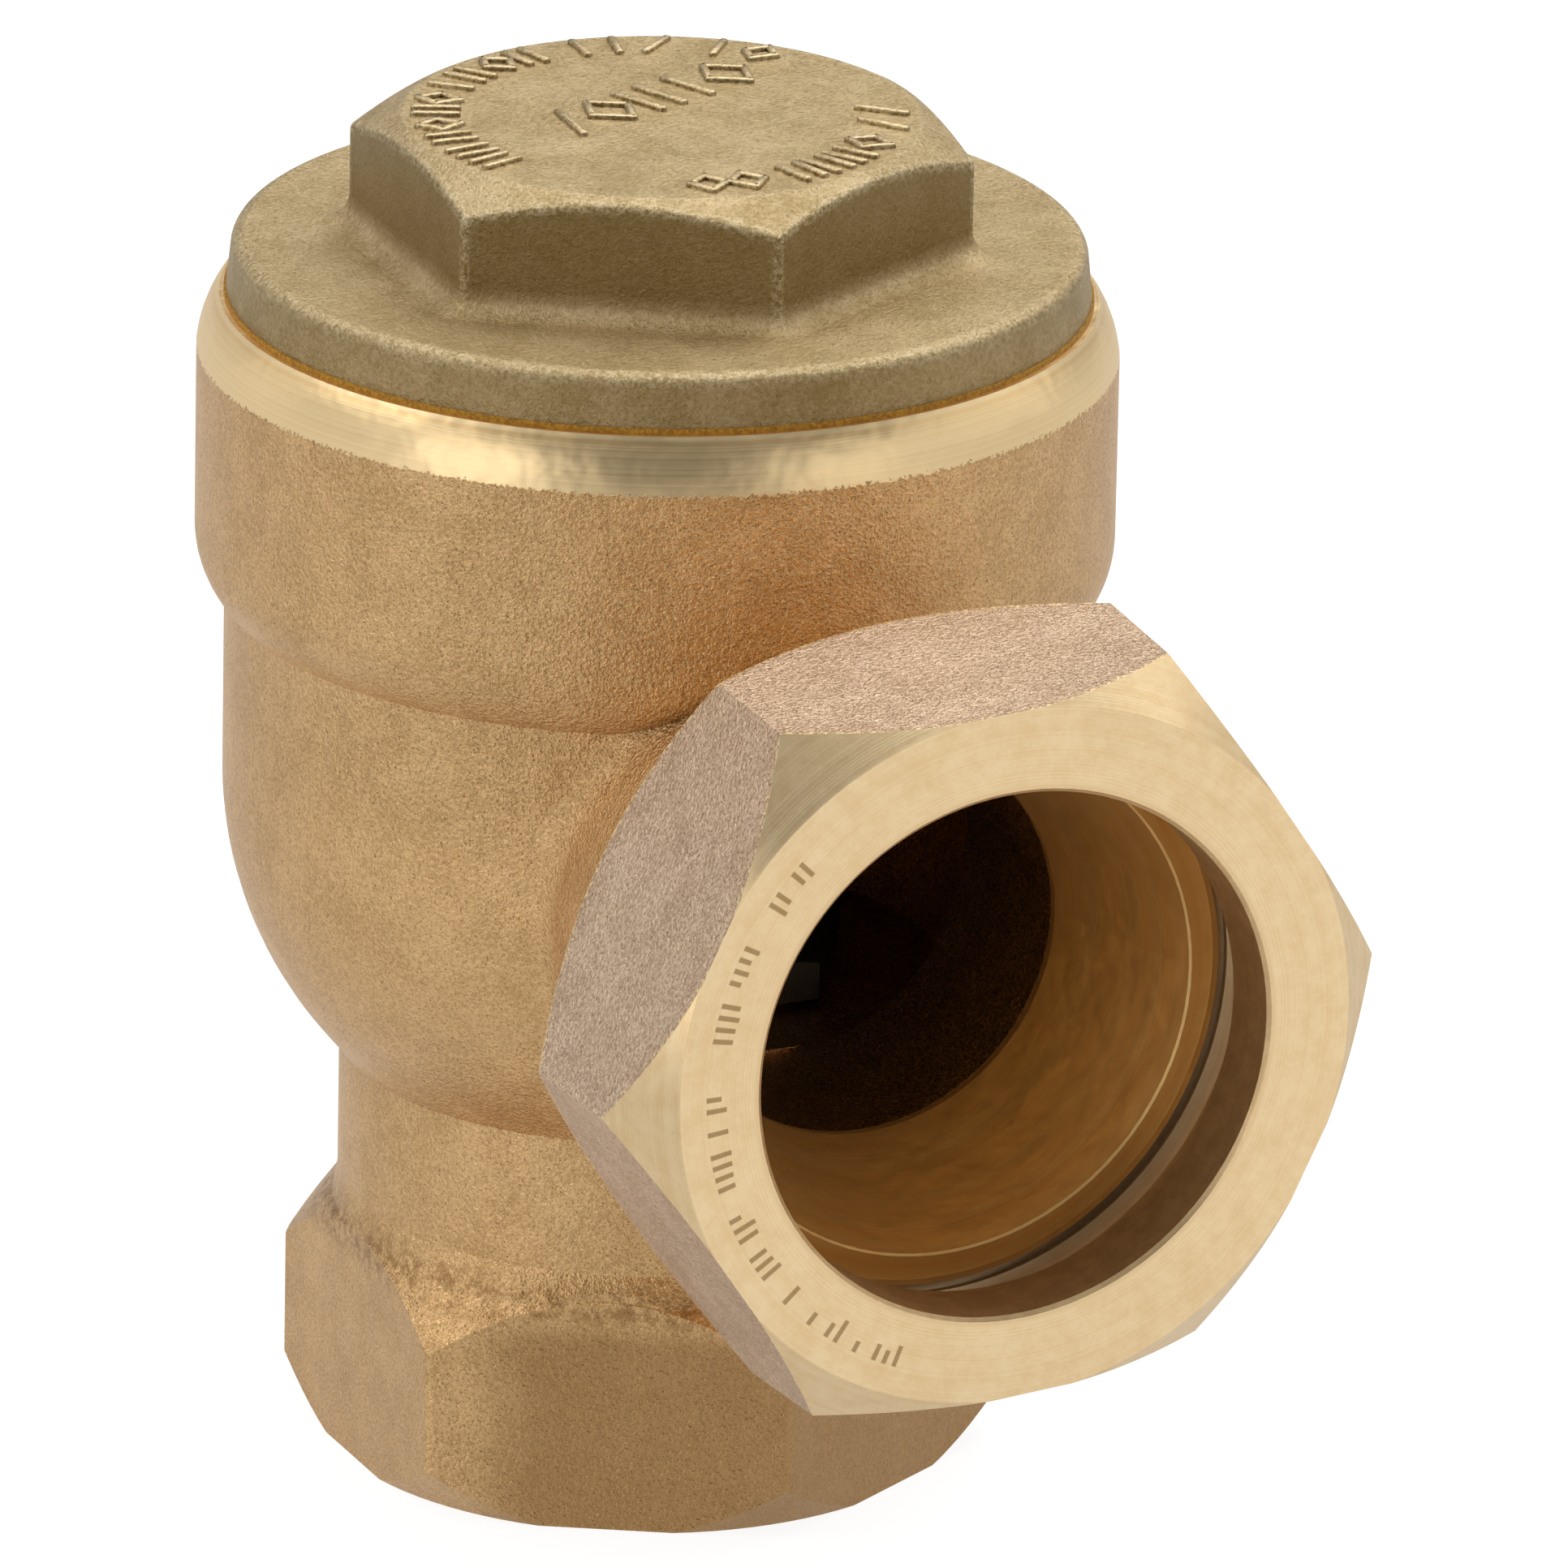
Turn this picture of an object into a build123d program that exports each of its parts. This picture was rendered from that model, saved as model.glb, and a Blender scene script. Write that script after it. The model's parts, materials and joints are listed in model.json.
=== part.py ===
"""Angle-pattern thermostatic steam trap, nominal 1 inch, in millimetres.

The body axis is Z, with the female outlet at the bottom (z = 0) and the screwed cover on top.
The union inlet points along -Y. The capsule element hangs from the cover and closes the seat
below it when it gets hot.
"""
from build123d import *
from math import asin, cos, pi, sin, sqrt
import os

# ---- driving dimensions ----
# body casting
BODY_R = 30.0            # upper cylinder
BARREL_R = 28.04         # lower cylinder under the step
STEP_Z = 57.84           # crease between the two cylinders
STEP_ROUND_TOP_Z = 62.5  # the step's rounding runs out into the upper cylinder here
BEVEL_Z = 74.69          # the turned bevel starts here
TOP_Z = 78.3             # gasket face
TOP_R = 28.62
BEVEL_MID = (29.62, 76.4)
BOWL_Z = 45.73           # centre height of the bowl's arc
BOWL_ARC_R = 26.07
BOWL_SWEEP = 39.4        # degrees of arc before the bowl turns conical
NECK_R = 20.19
WALL = 4.0

# outlet hexagon and its 1 inch female pipe thread
OUTLET_AF = 41.3
OUTLET_HEX_TURN = 30.0
OUTLET_FACE_R = 21.12
OUTLET_CORNER_LOW_Z = 3.4
OUTLET_CORNER_HIGH_Z = 11.4
OUTLET_HEX_TOP_Z = 16.5
OUTLET_SHOULDER_ROUND = 2.4
OUTLET_ROOT_ROUND = 1.4
FLARE_TOP_Z = 17.6       # the neck's foot spreads towards one side of the hexagon
FLARE_LOW_Z = 13.2
FLARE_R = 20.4
FLARE_SHIFT = 1.5
FLARE_ANGLE = 222.0
OUTLET_EDGE_ROUND = 0.8
OUTLET_THREAD_R = 14.7
OUTLET_THREAD_DEPTH = 1.3
OUTLET_THREAD_PITCH = 2.209
OUTLET_THREAD_LENGTH = 17.6
OUTLET_PASSAGE_R = 12.6

# web and screwed-in seat
WEB_LOW_Z = 25.5
WEB_TOP_Z = 32.0
SEAT_BARREL_R = 10.0
SEAT_GASKET_T = 0.6
SEAT_HEX_AF = 24.0
SEAT_HEX_H = 3.2
SEAT_LIP_R = 6.6
SEAT_LIP_H = 0.9
SEAT_BORE_R = 5.0

# cover thread in the body, one pitch per turn
COVER_PITCH = 1.5875
COVER_FEMALE_R = 25.45
COVER_MALE_R = 25.2
COVER_THREAD_DEPTH = 0.9
COVER_THREAD_LOW_Z = 66.5

# union end of the body
UNION_Z = 45.4
UNION_NECK_R = 17.2
UNION_NECK_FILLET = 3.0
UNION_SHOULDER_U = 38.3   # u is the distance from the body axis along the union axis
UNION_END_U = 46.4        # inner edge of the nose, which slopes back from it
UNION_NOSE_U = 45.35
UNION_NOSE_R = 19.1
UNION_MALE_R = 20.6
UNION_MALE_DEPTH = 1.1
UNION_PITCH = 2.3
UNION_SEAT_R = 17.14
SEAT_EDGE_BREAK = 0.14
PORT_STEP_U = 34.0
PORT_STEP_R = 13.3
PORT_R = 13.7
PORT_INNER_U = 18.0       # inside the chamber

# union nut
NUT_FACE_U = 56.73
NUT_BACK_U = 39.3
NUT_CORNER_R_FRONT = 26.65
NUT_CORNER_R_BACK = 27.46
NUT_HEX_TURN = 3.97
NUT_FACE_R = 23.25
NUT_CHAMFER_SLOPE = 0.9
NUT_LIP_R = 17.575
NUT_LIP_T = 5.1
NUT_FEMALE_R = 19.95
NUT_FEMALE_DEPTH = 1.05
NUT_EDGE_BREAK = 0.25

# cover
GASKET_T = 0.34
GASKET_R_IN = 25.9
GASKET_R_OUT = 28.25
FLANGE_R = 28.1
FLANGE_TOP_R = 27.75
FLANGE_TOP_Z = 82.16
FLANGE_ROUND = 0.9
CAP_AF = 35.5
CAP_HEX_TURN = 27.63
CAP_TOP_Z = 90.35
CAP_FACE_R = 16.9
CAP_CHAMFER_SLOPE = 0.513
CAP_EDGE_ROUND = 0.55
CAP_FOOT_ROUND = 1.7
CEILING_Z = 81.0
SKIRT_LOW_Z = 68.0
SKIRT_R_IN = 21.6
CORE_R = 12.5
CORE_TOP_Z = 85.0
BOSS_R = 7.5
BOSS_LOW_Z = 74.6

# thermostatic element: three capsules that each swell by CAPSULE_STROKE
CAPSULES = 3
CAPSULE_STROKE = 0.72
CAPSULE_H = 4.6
CAPSULE_R = 19.0
HUB_R = 5.0
SHEET_T = 0.4
DISH_H = 1.75
RIPPLE_H = 0.28
RIPPLES = 3
SKIRT_H = 1.9
RIM_GAP = 0.35
LINK_H = 1.2
LINK_R = 4.4
STEM_HEX_AF = 12.7
STEM_HEX_H = 3.6
STEM_R = 3.9
STEM_HOLE_R = 4.0
STEM_HOLE_TOP_Z = 83.0
WASHER_T = 0.5
CHARGE_HOLE_R = 0.8
PLUG_HUB_R = 8.0
PLUG_HUB_H = 1.6
PLUG_STEM_R = 3.4
PLUG_HEAD_R = 7.0
PLUG_NOSE_R = 3.5
PLUG_NOSE_Z = 37.9

GASKET_TOP_Z = TOP_Z + GASKET_T
STEM_TOP_Z = BOSS_LOW_Z - WASHER_T
STACK_TOP_Z = STEM_TOP_Z - STEM_HEX_H
CAPSULE_STEP = CAPSULE_H + LINK_H
STACK_LOW_Z = STACK_TOP_Z - CAPSULES * CAPSULE_STEP + LINK_H
SEAT_TOP_Z = WEB_TOP_Z + SEAT_GASKET_T + SEAT_HEX_H + SEAT_LIP_H
UNION = Pos(0, 0, UNION_Z) * Rot(90, 0, 0)


def turned(*points):
    """Solid turned about Z from a closed outline of (radius, height) points."""
    outline = Polyline(*[(r, 0, z) for r, z in points], close=True)
    return revolve(make_face(outline), Axis.Z)


def corner_radius(across_flats):
    return across_flats / sqrt(3)


def hexagon(across_flats, low, high, turn):
    """Hexagonal prism along Z, with one corner at the angle turn."""
    sketch = RegularPolygon(corner_radius(across_flats), 6, rotation=turn)
    return Pos(0, 0, low) * extrude(sketch, high - low)


def ridges(crest_r, root_r, low, high, pitch, start=0.0):
    """Outline points of V ridges between two heights, lowest first."""
    crest_half = 0.09 * pitch
    root_half = 0.33 * pitch
    points = []
    count = int((high - low - start) / pitch)
    for index in range(count):
        middle = low + start + (index + 0.5) * pitch
        points += [(root_r, middle - root_half), (crest_r, middle - crest_half)]
        points += [(crest_r, middle + crest_half), (root_r, middle + root_half)]
    return points


def male_thread(crest_r, depth, low, high, pitch, start=0.0):
    root_r = crest_r - depth
    teeth = ridges(crest_r, root_r, low, high, pitch, start)
    return turned((0, low), (root_r, low), *teeth, (root_r, high), (0, high))


def female_thread(crest_r, depth, low, high, pitch, start=0.0):
    """Cutter for a threaded hole: its teeth point inward to the crest radius."""
    root_r = crest_r + depth
    teeth = ridges(crest_r, root_r, low, high, pitch, start)
    return turned((0, low), (root_r, low), *teeth, (root_r, high), (0, high))


def groove_cutter(crest_r, depth, low, high, pitch):
    """Cutter for a threaded hole that starts and ends with a full-width crest."""
    teeth = ridges(crest_r + depth, crest_r, low, high, pitch)
    return turned((0, low), (crest_r, low), *teeth, (crest_r, high), (0, high))


# ---- body casting ----
def bowl_outline(arc_r, low_z):
    """Bowl from the barrel down to low_z: an arc, then its tangent."""
    centre_r = BARREL_R - BOWL_ARC_R
    sweep = BOWL_SWEEP * pi / 180
    start = (centre_r + arc_r, 0, BOWL_Z)
    middle = (centre_r + arc_r * cos(sweep / 2), 0, BOWL_Z - arc_r * sin(sweep / 2))
    end = (centre_r + arc_r * cos(sweep), 0, BOWL_Z - arc_r * sin(sweep))
    foot_r = end[0] - (end[2] - low_z) * sin(sweep) / cos(sweep)
    return ThreePointArc(start, middle, end), start, end, (foot_r, 0, low_z)


def lower_body():
    """Barrel, bowl and outlet neck."""
    sweep = BOWL_SWEEP * pi / 180
    end_r = BARREL_R - BOWL_ARC_R + BOWL_ARC_R * cos(sweep)
    end_z = BOWL_Z - BOWL_ARC_R * sin(sweep)
    neck_top = end_z - (end_r - NECK_R) * cos(sweep) / sin(sweep)
    arc, start, end, foot = bowl_outline(BOWL_ARC_R, neck_top)
    top = STEP_Z + 4
    rest = Polyline(end, foot, (NECK_R, 0, 0), (0, 0, 0), (0, 0, top), (BARREL_R, 0, top), start)
    return revolve(make_face(arc + rest), Axis.Z)


def upper_body():
    """Upper cylinder: rounded foot, straight cast wall, turned bevel."""
    rise = STEP_ROUND_TOP_Z - STEP_Z
    run = BODY_R - BARREL_R
    round_r = (rise ** 2 + run ** 2) / (2 * run)
    half = asin(rise / round_r) / 2
    middle = (BODY_R - round_r + round_r * cos(half), 0, STEP_ROUND_TOP_Z - round_r * sin(half))
    foot = ThreePointArc((BARREL_R, 0, STEP_Z), middle, (BODY_R, 0, STEP_ROUND_TOP_Z))
    wall = Line((BODY_R, 0, STEP_ROUND_TOP_Z), (BODY_R, 0, BEVEL_Z))
    bevel = ThreePointArc((BODY_R, 0, BEVEL_Z), (BEVEL_MID[0], 0, BEVEL_MID[1]), (TOP_R, 0, TOP_Z))
    rest = Polyline((TOP_R, 0, TOP_Z), (0, 0, TOP_Z), (0, 0, STEP_Z), (BARREL_R, 0, STEP_Z))
    return revolve(make_face(foot + wall + bevel + rest), Axis.Z)


def outlet_hexagon():
    """Wrench hexagon, chamfered below, with a rounded shoulder up to the neck."""
    corner = corner_radius(OUTLET_AF) + 0.03
    top = OUTLET_HEX_TOP_Z + OUTLET_ROOT_ROUND
    prism = hexagon(OUTLET_AF, 0, top, OUTLET_HEX_TURN)
    prism = fillet(prism.edges().filter_by(Axis.Z), OUTLET_EDGE_ROUND)
    shoulder = FilletPolyline((corner, 0, OUTLET_CORNER_LOW_Z), (corner, 0, OUTLET_CORNER_HIGH_Z),
                              (NECK_R, 0, OUTLET_HEX_TOP_Z), (NECK_R, 0, top),
                              radius=(OUTLET_SHOULDER_ROUND, OUTLET_ROOT_ROUND))
    rest = Polyline((NECK_R, 0, top), (0, 0, top), (0, 0, 0), (OUTLET_FACE_R, 0, 0),
                    (corner, 0, OUTLET_CORNER_LOW_Z))
    return prism & revolve(make_face(shoulder + rest), Axis.Z)


def neck_flare():
    """Foot of the neck, cast a little out of centre and kept within the hexagon's flats."""
    low = Pos(0, 0, FLARE_LOW_Z) * Rot(0, 0, FLARE_ANGLE) * Pos(FLARE_SHIFT, 0, 0) * Circle(FLARE_R)
    high = Pos(0, 0, FLARE_TOP_Z) * Circle(NECK_R)
    return loft([low, high]) & hexagon(OUTLET_AF - 0.1, FLARE_LOW_Z, FLARE_TOP_Z, OUTLET_HEX_TURN)


def union_neck():
    return UNION * Cylinder(UNION_NECK_R, UNION_SHOULDER_U, align=(Align.CENTER, Align.CENTER, Align.MIN))


def union_end():
    """Male thread for the nut, with a nose that slopes back from the seat's edge."""
    thread = male_thread(UNION_MALE_R, UNION_MALE_DEPTH, UNION_SHOULDER_U, UNION_NOSE_U, UNION_PITCH, 0.3)
    nose = turned((0, UNION_NOSE_U), (UNION_NOSE_R, UNION_NOSE_U), (UNION_SEAT_R, UNION_END_U),
                  (0, UNION_END_U))
    return UNION * (thread + nose)


def chamber():
    """Cavity above the web, open at the top for the cover."""
    arc_r = BOWL_ARC_R - WALL
    centre_r = BARREL_R - BOWL_ARC_R
    floor_r = centre_r + sqrt(arc_r ** 2 - (BOWL_Z - WEB_TOP_Z) ** 2)
    chamber_r = centre_r + arc_r
    middle_z = (BOWL_Z + WEB_TOP_Z) / 2
    middle_r = centre_r + sqrt(arc_r ** 2 - (BOWL_Z - middle_z) ** 2)
    arc = ThreePointArc((floor_r, 0, WEB_TOP_Z), (middle_r, 0, middle_z), (chamber_r, 0, BOWL_Z))
    rest = Polyline((chamber_r, 0, BOWL_Z), (chamber_r, 0, TOP_Z), (0, 0, TOP_Z), (0, 0, WEB_TOP_Z),
                    (floor_r, 0, WEB_TOP_Z))
    return revolve(make_face(arc + rest), Axis.Z)


def inlet_bore():
    """Seat cone, tapered turned wall, step and cast port, opening into the chamber."""
    return UNION * turned((0, PORT_INNER_U), (PORT_R, PORT_INNER_U), (PORT_R, PORT_STEP_U - 0.6),
                          (PORT_STEP_R, PORT_STEP_U - 0.6), (PORT_STEP_R, PORT_STEP_U),
                          (UNION_SEAT_R - SEAT_EDGE_BREAK, UNION_END_U - SEAT_EDGE_BREAK),
                          (UNION_SEAT_R + 1, UNION_END_U + 1), (0, UNION_END_U + 1))


def outlet_bore():
    """Pipe thread, passage and the seat's hole through the web."""
    top = OUTLET_THREAD_LENGTH
    thread = groove_cutter(OUTLET_THREAD_R, OUTLET_THREAD_DEPTH, -0.001, top, OUTLET_THREAD_PITCH)
    passage = turned((0, top), (OUTLET_THREAD_R, top), (OUTLET_PASSAGE_R, top + 2),
                     (OUTLET_PASSAGE_R, WEB_LOW_Z), (0, WEB_LOW_Z))
    seat_hole = Pos(0, 0, WEB_LOW_Z) * Cylinder(SEAT_BARREL_R, WEB_TOP_Z - WEB_LOW_Z,
                                                align=(Align.CENTER, Align.CENTER, Align.MIN))
    return thread + passage + seat_hole


def body():
    """Casting with its threads and bores."""
    casting = lower_body() + union_neck()
    joint = [edge for edge in casting.edges() if is_neck_root(edge)]
    casting = fillet(joint, UNION_NECK_FILLET)
    casting = casting + upper_body() + outlet_hexagon() + neck_flare() + union_end()
    mouth_z = TOP_Z - 1.0
    mouth_r = COVER_FEMALE_R + COVER_THREAD_DEPTH
    cover_hole = female_thread(COVER_FEMALE_R, COVER_THREAD_DEPTH, COVER_THREAD_LOW_Z, mouth_z, COVER_PITCH)
    mouth = turned((0, mouth_z), (mouth_r, mouth_z), (mouth_r, TOP_Z), (0, TOP_Z))
    return casting - chamber() - cover_hole - mouth - inlet_bore() - outlet_bore()


def is_neck_root(edge):
    """True on the line where the union neck meets the bowl and barrel."""
    spot = edge.position_at(0.5)
    reach = sqrt(spot.X ** 2 + (spot.Z - UNION_Z) ** 2)
    return abs(reach - UNION_NECK_R) < 0.05 and -UNION_SHOULDER_U + 1 < spot.Y < -5


# ---- seat ----
def valve_seat():
    """Screwed-in seat with a hexagon head and a raised lip."""
    low = WEB_LOW_Z - 1.0
    hex_low = WEB_TOP_Z + SEAT_GASKET_T
    hex_top = hex_low + SEAT_HEX_H
    barrel_r = SEAT_BARREL_R - 0.05
    barrel = turned((0, low), (barrel_r - 0.6, low), (barrel_r, low + 0.6), (barrel_r, hex_low),
                    (0, hex_low))
    head = hexagon(SEAT_HEX_AF, hex_low, hex_top, 0)
    head = head & turned((0, hex_low), (SEAT_HEX_AF * 0.6, hex_low), (SEAT_HEX_AF * 0.6, hex_top - 0.9),
                         (SEAT_HEX_AF * 0.49, hex_top), (0, hex_top))
    lip = turned((0, hex_top), (SEAT_LIP_R + 0.6, hex_top), (SEAT_LIP_R, SEAT_TOP_Z), (0, SEAT_TOP_Z))
    bore = turned((0, low - 1), (SEAT_BORE_R, low - 1), (SEAT_BORE_R, SEAT_TOP_Z + 1), (0, SEAT_TOP_Z + 1))
    return barrel + head + lip - bore


def seat_gasket():
    inner_r = SEAT_BARREL_R + 0.1
    outer_r = SEAT_BARREL_R + 1.8
    top = WEB_TOP_Z + SEAT_GASKET_T
    return turned((inner_r, WEB_TOP_Z), (outer_r, WEB_TOP_Z), (outer_r, top), (inner_r, top))


# ---- union nut ----
def nut_blank():
    """Drafted cast hexagon, turned to a cone and a flat face at both ends."""
    front = Pos(0, 0, NUT_FACE_U) * RegularPolygon(NUT_CORNER_R_FRONT, 6, rotation=NUT_HEX_TURN)
    back = Pos(0, 0, NUT_BACK_U) * RegularPolygon(NUT_CORNER_R_BACK, 6, rotation=NUT_HEX_TURN)
    prism = loft([back, front])
    wide_r = NUT_CORNER_R_BACK + 2
    cone_run = (wide_r - NUT_FACE_R) / NUT_CHAMFER_SLOPE
    return prism & turned((0, NUT_BACK_U), (NUT_FACE_R, NUT_BACK_U), (wide_r, NUT_BACK_U + cone_run),
                          (wide_r, NUT_FACE_U - cone_run), (NUT_FACE_R, NUT_FACE_U), (0, NUT_FACE_U))


def union_nut():
    """Nut with its lip, bore and thread, cut so that its teeth mesh with the union end's."""
    lip_low = NUT_FACE_U - NUT_LIP_T
    root_r = NUT_FEMALE_R + NUT_FEMALE_DEPTH
    start = 0.3 + UNION_PITCH / 2 - (NUT_BACK_U - UNION_SHOULDER_U)
    start = start % UNION_PITCH
    thread = female_thread(NUT_FEMALE_R, NUT_FEMALE_DEPTH, NUT_BACK_U, lip_low, UNION_PITCH, start)
    lip = turned((0, lip_low), (NUT_LIP_R, lip_low), (NUT_LIP_R, NUT_FACE_U - NUT_EDGE_BREAK),
                 (NUT_LIP_R + NUT_EDGE_BREAK, NUT_FACE_U), (0, NUT_FACE_U))
    mouth_u = NUT_BACK_U + 0.7
    mouth = turned((0, NUT_BACK_U), (root_r + 0.7, NUT_BACK_U), (root_r, mouth_u), (0, mouth_u))
    return UNION * (nut_blank() - thread - lip - mouth)


# ---- cover ----
def cap_top():
    """Flange and hexagonal head with cast roundings."""
    flange = turned((0, GASKET_TOP_Z), (FLANGE_R, GASKET_TOP_Z), (FLANGE_TOP_R, FLANGE_TOP_Z),
                    (0, FLANGE_TOP_Z))
    prism = hexagon(CAP_AF, FLANGE_TOP_Z - 1, CAP_TOP_Z, CAP_HEX_TURN)
    wide_r = corner_radius(CAP_AF) + 2
    low_z = CAP_TOP_Z - (wide_r - CAP_FACE_R) * CAP_CHAMFER_SLOPE
    head = prism & turned((0, FLANGE_TOP_Z - 1), (wide_r, FLANGE_TOP_Z - 1), (wide_r, low_z),
                          (CAP_FACE_R, CAP_TOP_Z), (0, CAP_TOP_Z))
    head = fillet(head.edges().filter_by(lambda edge: edge.center().Z > FLANGE_TOP_Z), CAP_EDGE_ROUND)
    top = flange + head
    roots = [edge for edge in top.edges() if is_cap_root(edge)]
    top = fillet(roots, CAP_FOOT_ROUND)
    rims = [edge for edge in top.edges() if is_flange_rim(edge)]
    return fillet(rims, FLANGE_ROUND)


def is_cap_root(edge):
    spot = edge.position_at(0.5)
    reach = sqrt(spot.X ** 2 + spot.Y ** 2)
    return abs(spot.Z - FLANGE_TOP_Z) < 0.01 and reach < FLANGE_TOP_R - 3


def is_flange_rim(edge):
    spot = edge.position_at(0.5)
    reach = sqrt(spot.X ** 2 + spot.Y ** 2)
    return abs(spot.Z - FLANGE_TOP_Z) < 0.01 and abs(reach - FLANGE_TOP_R) < 0.05


def cover():
    """Cover with its threaded skirt, hollow and a drilled boss for the element."""
    relief_z = GASKET_TOP_Z - 2.2
    relief = turned((0, relief_z), (COVER_MALE_R - COVER_THREAD_DEPTH, relief_z),
                    (COVER_MALE_R - COVER_THREAD_DEPTH, GASKET_TOP_Z), (0, GASKET_TOP_Z))
    skirt = male_thread(COVER_MALE_R, COVER_THREAD_DEPTH, SKIRT_LOW_Z, relief_z, COVER_PITCH)
    hollow = turned((0, SKIRT_LOW_Z - 1), (SKIRT_R_IN + 0.8, SKIRT_LOW_Z - 1), (SKIRT_R_IN, SKIRT_LOW_Z + 1),
                    (SKIRT_R_IN, CEILING_Z - 2), (SKIRT_R_IN - 2, CEILING_Z), (CORE_R + 1, CEILING_Z),
                    (CORE_R, CORE_TOP_Z), (0, CORE_TOP_Z))
    boss = turned((0, BOSS_LOW_Z), (BOSS_R, BOSS_LOW_Z), (BOSS_R + 1, CORE_TOP_Z + 0.5),
                  (0, CORE_TOP_Z + 0.5))
    hole = turned((0, BOSS_LOW_Z - 1), (STEM_HOLE_R, BOSS_LOW_Z - 1), (STEM_HOLE_R, STEM_HOLE_TOP_Z),
                  (0, STEM_HOLE_TOP_Z + 2))
    return cap_top() + relief + skirt - hollow + boss - hole


def cover_gasket():
    return turned((GASKET_R_IN, TOP_Z), (GASKET_R_OUT, TOP_Z), (GASKET_R_OUT, GASKET_TOP_Z),
                  (GASKET_R_IN, GASKET_TOP_Z))


# ---- thermostatic element ----
def stem():
    """Threaded stud and hexagon that carry the capsules, drilled for filling."""
    head = hexagon(STEM_HEX_AF, STACK_TOP_Z, STEM_TOP_Z, 0)
    stud = male_thread(STEM_R, 0.5, STEM_TOP_Z, STEM_HOLE_TOP_Z - 1, 1.25)
    hole = Pos(0, 0, STACK_TOP_Z) * Cylinder(CHARGE_HOLE_R, STEM_HOLE_TOP_Z - STACK_TOP_Z,
                                             align=(Align.CENTER, Align.CENTER, Align.MIN))
    return head + stud - hole


def charge_pin():
    top = STEM_HOLE_TOP_Z - 1
    return turned((0, top - 4), (CHARGE_HOLE_R - 0.05, top - 4), (CHARGE_HOLE_R - 0.05, top), (0, top))


def lock_washer():
    return turned((STEM_HOLE_R + 0.1, STEM_TOP_Z), (BOSS_R - 0.5, STEM_TOP_Z), (BOSS_R - 0.5, BOSS_LOW_Z),
                  (STEM_HOLE_R + 0.1, BOSS_LOW_Z))


def dish_line(rim_r):
    """Corrugated diaphragm section from hub to rim, as drop below the hub."""
    steps = 8 * RIPPLES
    line = []
    for step in range(steps + 1):
        share = step / steps
        radius = HUB_R + (rim_r - HUB_R) * share
        drop = DISH_H * share + RIPPLE_H * sin(2 * pi * RIPPLES * share)
        line.append((radius, drop))
    return line


def upper_diaphragm(top):
    """Dish that opens downward, with the rim band that sleeves the lower one."""
    rim_r = CAPSULE_R
    line = dish_line(rim_r)
    upper = [(r, top - drop) for r, drop in line]
    lower = [(min(r, rim_r - SHEET_T), top - drop - SHEET_T) for r, drop in reversed(line)]
    band = [(rim_r, upper[-1][1] - SKIRT_H), (rim_r - SHEET_T, upper[-1][1] - SKIRT_H)]
    return turned((0, top), *upper, *band, *lower, (0, top - SHEET_T))


def lower_diaphragm(bottom):
    """Dish that opens upward, its upturned rim inside the band above."""
    rim_r = CAPSULE_R - SHEET_T - RIM_GAP
    line = dish_line(rim_r)
    lower = [(r, bottom + drop) for r, drop in line]
    upper = [(min(r, rim_r - SHEET_T), bottom + drop + SHEET_T) for r, drop in reversed(line)]
    rim = [(rim_r, lower[-1][1] + 0.8), (rim_r - SHEET_T, lower[-1][1] + 0.8)]
    return turned((0, bottom), *lower, *rim, *upper, (0, bottom + SHEET_T))


def stop_disc(top):
    """Disc inside a capsule that the diaphragms close on when cold."""
    disc_r = HUB_R - 0.6
    high = top - SHEET_T
    low = top - CAPSULE_H + SHEET_T + 0.1
    return turned((0, low), (disc_r - 0.4, low), (disc_r, low + 0.4), (disc_r, high), (0, high))


def link(top):
    return turned((0, top - LINK_H), (LINK_R, top - LINK_H), (LINK_R, top), (0, top))


def valve_plug():
    """Conical plug on a stem under the lowest capsule."""
    top = STACK_LOW_Z
    cone_top_z = PLUG_NOSE_Z + PLUG_HEAD_R - PLUG_NOSE_R
    return turned((0, PLUG_NOSE_Z), (PLUG_NOSE_R, PLUG_NOSE_Z), (PLUG_HEAD_R, cone_top_z),
                  (PLUG_HEAD_R, cone_top_z + 1.4), (PLUG_STEM_R, cone_top_z + 3.2),
                  (PLUG_STEM_R, top - PLUG_HUB_H - 1), (PLUG_HUB_R * 0.6, top - PLUG_HUB_H),
                  (PLUG_HUB_R * 0.6, top), (0, top))


def element_parts():
    """Every capsule's two diaphragms and stop disc, and the links between capsules."""
    made = {}
    for number in range(1, CAPSULES + 1):
        top = STACK_TOP_Z - (number - 1) * CAPSULE_STEP
        made[f"upper_diaphragm_{number}"] = upper_diaphragm(top)
        made[f"lower_diaphragm_{number}"] = lower_diaphragm(top - CAPSULE_H)
        made[f"stop_disc_{number}"] = stop_disc(top)
        if number < CAPSULES:
            made[f"capsule_link_{number}"] = link(top - CAPSULE_H)
    return made


def main():
    parts = {
        "trap_body": body(),
        "valve_seat": valve_seat(),
        "seat_gasket": seat_gasket(),
        "union_nut": union_nut(),
        "cover": cover(),
        "cover_gasket": cover_gasket(),
        "element_stem": stem(),
        "charge_pin": charge_pin(),
        "lock_washer": lock_washer(),
        "valve_plug": valve_plug(),
    }
    parts.update(element_parts())
    os.makedirs("parts", exist_ok=True)
    for name, shape in parts.items():
        export_step(shape, f"parts/{name}.step")


main()
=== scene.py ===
"""Look of the angle-pattern steam trap: cast and turned bronze, studio light and camera."""
import json
import math
import random

import bmesh
import bpy
from mathutils import Matrix, Vector


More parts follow.
